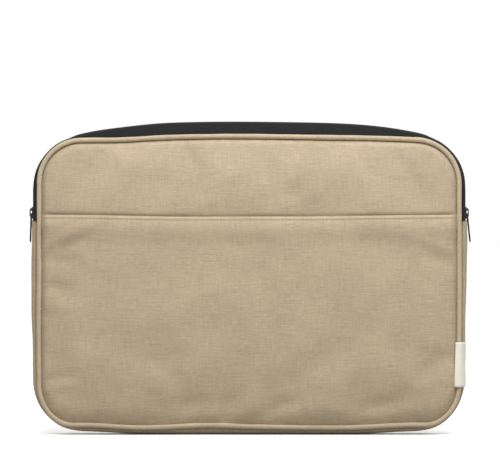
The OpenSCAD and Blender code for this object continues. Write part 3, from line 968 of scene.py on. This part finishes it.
front_welt = with_flap(
    piping("front_piping_welt", -1), "canvas", "front_piping", "front_piping_top")
on_sleeve(piping("back_piping_welt", 1), "canvas", "back_piping")
with_flap(cord_core("front_filler_cord", -1), "piping_cord",
          "front_piping_cord", "front_piping_cord_top")
on_sleeve(cord_core("back_filler_cord", 1), "piping_cord", "back_piping_cord")


# ---- binding inside the seams
# Depth inward from the piping's middle, and outward, in millimetres.
BINDING_LINE = [(-2.3, -2.9), (-2.3, -4.9), (-2.7, -5.9), (-3.3, -6.1), (-3.9, -5.9),
                (-4.3, -4.9), (-4.3, -3.3)]


def binding(name, side):
    line = [(pipe_y(side) + side * a * MM, n * MM) for a, n in BINDING_LINE]
    section = band(line, 0.4 * MM)
    return ring_piece(name, 5 * MM, lambda s: section, band_lengths(line), BINDING)


with_flap(binding("front_seam_binding", -1), "binding", "front_binding", "front_binding_top")
on_sleeve(binding("back_seam_binding", 1), "binding", "back_binding")


# ---- gusset
GUSSET_HALF = (BACK_Y - FRONT_Y) / 2 - 2.3 * MM
GUSSET_FOOT = -2.2 * MM
NOTCH_N = 2.6 * MM


def gusset_line(bulge, half, foot, points=21, power=2.7, notch=0.0):
    """An arch across the gusset, from its foot beside one piping to the other.

    notch is how far the cloth is drawn in beside the pipings, before it rolls out again."""
    line = []
    for a in np.linspace(0, math.pi, points):
        c, d = math.cos(a), math.sin(a)
        n = foot + (bulge - foot) * abs(d) ** (2 / power)
        drawn = notch * math.exp(-(((n - NOTCH_N) / (1.1 * MM)) ** 2))
        y = MID_Y - math.copysign(half * abs(c) ** (2 / power) - drawn * abs(c) ** 0.5, c)
        line.append((y, n))
    return line


def gusset_bulge(s):
    """The side gussets stand out a little more at the left; the base lies flat."""
    wave = 0.30 * MM * math.sin(s * 58 + 0.6) + 0.15 * MM * math.sin(s * 131)
    x, z, nx, nz = outline(s)
    side = abs(nx) ** 2 * smooth((z - LOW_Z) / 0.03)
    high = smooth((z - 0.06) / 0.12)
    drawn = abs(nx * nz) * 2 * smooth((0.1 - z) / 0.05)
    stand = (0.45 * high if x < 0 else 0.45 * high - 0.8 * (1 - high)) * MM
    return GUSSET_N + (wave + stand) * side - 0.8 * MM * drawn


def strip(name, places, section, v, material):
    """A closed strand of section(s) along part of the outline, with its two ends capped."""
    rows = swept(places, section)
    return lofted(name, rows, places - places[0], v, material, loop=True, caps=True)


def gusset_stations(top, step):
    """From the left side at height top, under the base, to the right side."""
    return stations(s_at_side(top, False) - PERIMETER, s_at_side(top, True), step)


def cover_line(bulge):
    return gusset_line(bulge, GUSSET_HALF, GUSSET_FOOT, 37, 2.7, 1.7 * MM)


def gusset():
    def section(s):
        return band(cover_line(gusset_bulge(s) - CANVAS_T / 2), CANVAS_T)

    places = gusset_stations(ZIP_END_Z, 4 * MM)
    return strip("gusset_canvas_cover", places, section, band_lengths(cover_line(GUSSET_N)), GUSSET)


def inner_gusset(name, under, narrower, thickness, material, below):
    """A layer inside the gusset, under its canvas and ending below its top."""
    def line(s):
        half = GUSSET_HALF - narrower
        return gusset_line(gusset_bulge(s) - under, half, -1.0 * MM, 13, 3.0)

    places = gusset_stations(ZIP_END_Z - below, 6 * MM)
    return strip(name, places, lambda s: band(line(s), thickness), band_lengths(line(0)), material)


gusset_cover = on_sleeve(gusset(), "canvas", "gusset_canvas")
gusset_pad = inner_gusset("gusset_padding", 2.7 * MM, 3.0 * MM, 2.2 * MM, FOAM, 15 * MM)
on_sleeve(gusset_pad, "foam", "gusset_foam")
gusset_liner = inner_gusset("gusset_lining_cloth", 4.3 * MM, 4.6 * MM, 0.5 * MM, LINING, 14 * MM)
on_sleeve(gusset_liner, "lining", "gusset_lining")


# ---- zipper tape and coil
TAPE_T = 0.6 * MM
TAPE_LENGTH = 16.3 * MM
TAPE_WALL = 2.6 * MM
TAPE_FOOT = -2.6 * MM
TAPE_POINTS = 24
STAND_X = 166 * MM
STAND_H = 11.6 * MM
CORNER_TOP = 3.4 * MM
SIDE_TOP = 6.0 * MM
TUCK_ANGLE = -62
BEND_R = 1.3 * MM


def tape_top(x, z, nz):
    """How far out the tape reaches: tall along the mouth, nearly hidden behind the piping round
    the corners, and out again towards the sliders."""
    reach, power = (STAND_X, 3.6) if x > 0 else (STAND_X - 2 * MM, 4.7)
    stand = max(0.0, 1 - (abs(x) / reach) ** power) * float(smooth((nz - 0.70) / 0.3))
    low = 1 - float(np.clip((z - (ZIP_END_Z + 28.5 * MM)) / (30 * MM), 0, 1))
    corner = CORNER_TOP + 1.1 * MM * float(smooth(x / 0.1))
    return corner + (PIPE_R + STAND_H - corner) * stand + (SIDE_TOP - corner) * low * (1 - stand)


def tape_angle(z):
    """Which way the last stretch points: flat beside the sliders, turned down inside elsewhere."""
    return TUCK_ANGLE * float(smooth((z - (ZIP_END_Z + 40 * MM)) / (26 * MM)))


def tape_line(s, side):
    """The half tape from its seam to its free edge: out beside the piping, then over or up."""
    x, z, nx, nz = outline(s)
    angle = tape_angle(z)
    turn = BEND_R * math.radians(90 - angle)
    bend_at = tape_top(x, z, nz) - TAPE_T / 2 - TAPE_FOOT - BEND_R
    pipe = pipe_y(side)
    y, n = pipe - side * TAPE_WALL, TAPE_FOOT
    step = TAPE_LENGTH / (TAPE_POINTS - 1)
    line = [(y, n)]
    for i in range(TAPE_POINTS - 1):
        t = (i + 0.5) * step
        heading = math.radians(90 + (angle - 90) * float(np.clip((t - bend_at) / turn, 0, 1)))
        y -= side * step * math.cos(heading)
        n += step * math.sin(heading)
        line.append((y, n))
    return line


def zip_tape(name, side):
    low = ZIP_END_Z - 0.6 * MM
    places = stations(s_at_side(low, True), s_at_side(low, False), 3.5 * MM)
    v = band_lengths(tape_line(PERIMETER / 2, side))
    return strip(name, places, lambda s: band(tape_line(s, side), TAPE_T), v, TAPE)


COIL_PITCH = 1.3 * MM
COIL_R = 0.78 * MM
WIRE_R = 0.30 * MM
COIL_STEPS = 8


def zip_coil(name, side):
    """A nylon coil sewn to the inner face of the tape's free edge, one turn after another."""
    low = ZIP_END_Z - 3 * MM
    start, end = s_at_side(low, True), s_at_side(low, False)
    turns = int((end - start) / COIL_PITCH)
    centres = []
    for i in range(turns * COIL_STEPS + 1):
        s = start + (end - start) * i / (turns * COIL_STEPS)
        line = tape_line(s, side)
        (y0, n0), (y1, n1) = line[-3], line[-1]
        length = math.hypot(y1 - y0, n1 - n0)
        dy, dn = (y1 - y0) / length, (n1 - n0) / length
        iy, i_n = side * -dn, side * dy
        a = 2 * math.pi * i / COIL_STEPS
        edge = COIL_R * 1.15
        along = edge * (math.cos(a) - 1)
        deep = TAPE_T / 2 + WIRE_R + COIL_R + COIL_R * math.sin(a)
        y = y1 + dy * along + iy * deep
        n = n1 + dn * along + i_n * deep
        x, z, nx, nz = outline(s)
        centres.append((x + n * nx, y, z + n * nz))
    path = relax(np.array(centres))
    tangent = unit(np.gradient(path, axis=0))
    up = unit(np.cross(tangent, np.array([0.3, 0.9, 0.3])))
    across = np.cross(tangent, up)
    sides = 5
    angles = [2 * math.pi * j / sides for j in range(sides)]
    rows = np.stack([path + WIRE_R * (up * math.cos(a) + across * math.sin(a)) for a in angles], 1)
    v = np.arange(sides + 1) * WIRE_R
    return lofted(name, rows, lengths(path), v, COIL, loop=True)


with_flap(zip_tape("front_zipper_tape", -1), "zip_tape",
          "front_zip_tape_sides", "front_zip_tape_top")
on_sleeve(zip_tape("back_zipper_tape", 1), "zip_tape", "back_zip_tape")
with_flap(zip_coil("front_zipper_coil", -1), "zip_coil",
          "front_zip_coil_sides", "front_zip_coil_top")
on_sleeve(zip_coil("back_zipper_coil", 1), "zip_coil", "back_zip_coil")


# ---- label
# Depth back from the front piping's middle, and outward, in millimetres.
LABEL_LINE = [(-1.9, -3.2), (-2.7, -2.9), (-3.1, -1.8), (-3.0, 0.2), (-2.4, 1.9), (-1.0, 3.1),
              (0.8, 4.2), (2.6, 5.3), (4.4, 6.3), (6.8, 6.9), (9.4, 7.1), (11.0, 7.1)]


def label_section(t):
    """The folded label from the front seam, over the piping and round the gusset."""
    lift = 0.3 * math.sin(t * math.pi * 2.2 + 0.4)
    return [(FRONT_Y + (a - 0.15 * lift) * MM, (n + lift * max(0, min(1, (n + 1) / 6))) * MM)
            for a, n in LABEL_LINE]


def side_label():
    z0, z1 = LABEL[0].z, LABEL[1].z
    heights = np.linspace(z0, z1, 24)
    rows = []
    for z in heights:
        t = (z - z0) / (z1 - z0)
        lean = (1 - t) * 1.2 * MM
        line = [(y, n - lean * math.exp(-max(0, n + 2 * MM) / (3 * MM)))
                for y, n in label_section(t)]
        rows.append([(HALF_W + n, y, z) for y, n in band(line, 0.55 * MM)])
    rows = relax(np.array(rows))
    v = band_lengths(label_section(0.5))
    return lofted("side_label_cotton", rows, heights - z0, v, LABEL_CLOTH, loop=True, caps=True)


label = on_sleeve(side_label(), "label_cotton", "side_label")

# ---- metal parts
def softened(name, node, body, width):
    """The frame's part with its cast edges rounded off."""
    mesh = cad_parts[node].data.copy()
    mesh.name = name
    bm = bmesh.new()
    bm.from_mesh(mesh)
    bmesh.ops.remove_doubles(bm, verts=bm.verts, dist=0.001 * MM)
    bmesh.ops.dissolve_limit(bm, angle_limit=math.radians(2), verts=bm.verts, edges=bm.edges)
    bm.to_mesh(mesh)
    bm.free()
    if "sharp_face" in mesh.attributes:
        mesh.attributes.remove(mesh.attributes["sharp_face"])
    mesh.materials.clear()
    mesh.materials.append(METAL)
    piece = placed(name, mesh)
    bevel = piece.modifiers.new("edges", "BEVEL")
    bevel.width = width
    bevel.segments = 3
    bevel.limit_method = "ANGLE"
    bevel.angle_limit = math.radians(40)
    bevel.harden_normals = False
    apply_modifiers(piece)
    piece.data.polygons.foreach_set("use_smooth", [True] * len(piece.data.polygons))
    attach(piece, body)
    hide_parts(node)
    return piece


for side in ("left", "right"):
    softened("slider_body_" + side, "slider_" + side, "slider_" + side, 0.22 * MM)
    softened("puller_tab_" + side, "puller_" + side, "puller_" + side, 0.25 * MM)
softened("zipper_end_stops", "zip_end_stops", "sleeve", 0.15 * MM)


# ---- stitches at the gusset ends and label
def gusset_out(s, y):
    """How far out the gusset's canvas is at depth y."""
    line = np.array(gusset_line(gusset_bulge(s), GUSSET_HALF, GUSSET_FOOT))
    return float(np.interp(y, line[:, 0], line[:, 1]))


def end_stitches():
    ends = []
    for right in (True, False):
        for row in (2.2 * MM, 4.6 * MM):
            s = s_at_side(ZIP_END_Z - row, right)
            x, z, nx, nz = outline(s)
            for k in range(-3, 3):
                ya, yb = MID_Y + (k * 2.7 + 0.3) * MM, MID_Y + (k * 2.7 + 2.4) * MM
                pair = [(x + nx * gusset_out(s, y), y, z) for y in (ya, yb)]
                ends.append((*relax(np.array(pair)), (nx, 0, 0)))
    return stitches("gusset_end_stitching", ends, 0.2 * MM, THREAD)


on_sleeve(end_stitches(), "thread", "zip_end_stitching")


def label_stitches():
    ends = []
    x, y = HALF_W + 7.4 * MM, FRONT_Y + 9.6 * MM
    z = LABEL[0].z + 1.5 * MM
    while z + 2 * MM < LABEL[1].z:
        ends.append((*relax([(x, y, z), (x, y, z + 2 * MM)]), (1, 0, 0)))
        z += 2.8 * MM
    return stitches("label_edge_stitching", ends, 0.2 * MM, THREAD)


on_sleeve(label_stitches(), "thread", "label_stitching")


# ---- camera, floor and light
AIM_X = 0.7 * MM
AIM_Z = 185.2 * MM
VIEW_W = 0.4585
DISTANCE = 2.6
SENSOR_MM = 36
FLOOR = 30
FLOOR_SEEN, FLOOR_BOUNCED = 1.5, 0.50
SKY_LOW, SKY_HIGH = 0.22, 1.05
KEY_PLACE = (0.08, -0.48, 0.84)
KEY_SIZE = (0.8, 0.5)
KEY_WATTS = 6.3


def look(obj, target):
    obj.rotation_euler = (Vector(target) - obj.location).to_track_quat("-Z", "Y").to_euler()


def camera_ray(tree):
    return add_node(tree, "LightPath").outputs["Is Camera Ray"]


def pale_floor():
    """White to the camera, and darker to the light that it throws back."""
    material = bpy.data.materials.new("pale_floor")
    material.use_nodes = True
    tree = material.node_tree
    bsdf = tree.nodes["Principled BSDF"]
    bsdf.inputs["Roughness"].default_value = 0.9
    level = add_node(tree, "MapRange", {
        "To Min": FLOOR_BOUNCED, "To Max": FLOOR_SEEN, "Value": camera_ray(tree)})
    put(tree, bsdf.inputs["Base Color"], level.outputs["Result"])
    return material


def studio_world():
    """White behind the object, and soft light that is strongest from overhead."""
    world = bpy.data.worlds.new("studio")
    world.use_nodes = True
    tree = world.node_tree
    background = tree.nodes["Background"]
    background.inputs["Color"].default_value = (1, 1, 1, 1)
    place = add_node(tree, "TexCoord").outputs["Generated"]
    up = add_node(tree, "SeparateXYZ", {0: place}).outputs[2]
    sky = add_node(tree, "MapRange", {
        "From Min": 0.0, "From Max": 1.0, "To Min": SKY_LOW, "To Max": SKY_HIGH, "Value": up})
    seen = add_node(tree, "Mix", {
        "Factor": camera_ray(tree), "A": sky.outputs["Result"], "B": 1.0})
    put(tree, background.inputs["Strength"], seen.outputs["Result"])
    return world


def stage():
    scene = bpy.context.scene
    camera = placed("camera", bpy.data.cameras.new("camera"))
    camera.data.lens = SENSOR_MM * DISTANCE / VIEW_W
    camera.data.clip_end = 100
    camera.location = (AIM_X, FRONT_Y - DISTANCE, AIM_Z)
    look(camera, (AIM_X, FRONT_Y, AIM_Z))
    scene.camera = camera

    floor_mesh = bpy.data.meshes.new("floor")
    corners = [(-FLOOR, -FLOOR, 0), (FLOOR, -FLOOR, 0), (FLOOR, FLOOR, 0), (-FLOOR, FLOOR, 0)]
    floor_mesh.from_pydata(corners, [], [(0, 1, 2, 3)])
    floor = placed("floor", floor_mesh)
    floor_mesh.materials.append(pale_floor())
    scene.world = studio_world()

    light = bpy.data.lights.new("key", "AREA")
    light.shape = "RECTANGLE"
    light.size, light.size_y = KEY_SIZE
    light.energy = KEY_WATTS
    lamp = placed("key", light)
    lamp.location = KEY_PLACE
    look(lamp, (0, 0, 0.14))
    scene.view_settings.view_transform = "Standard"
stage()
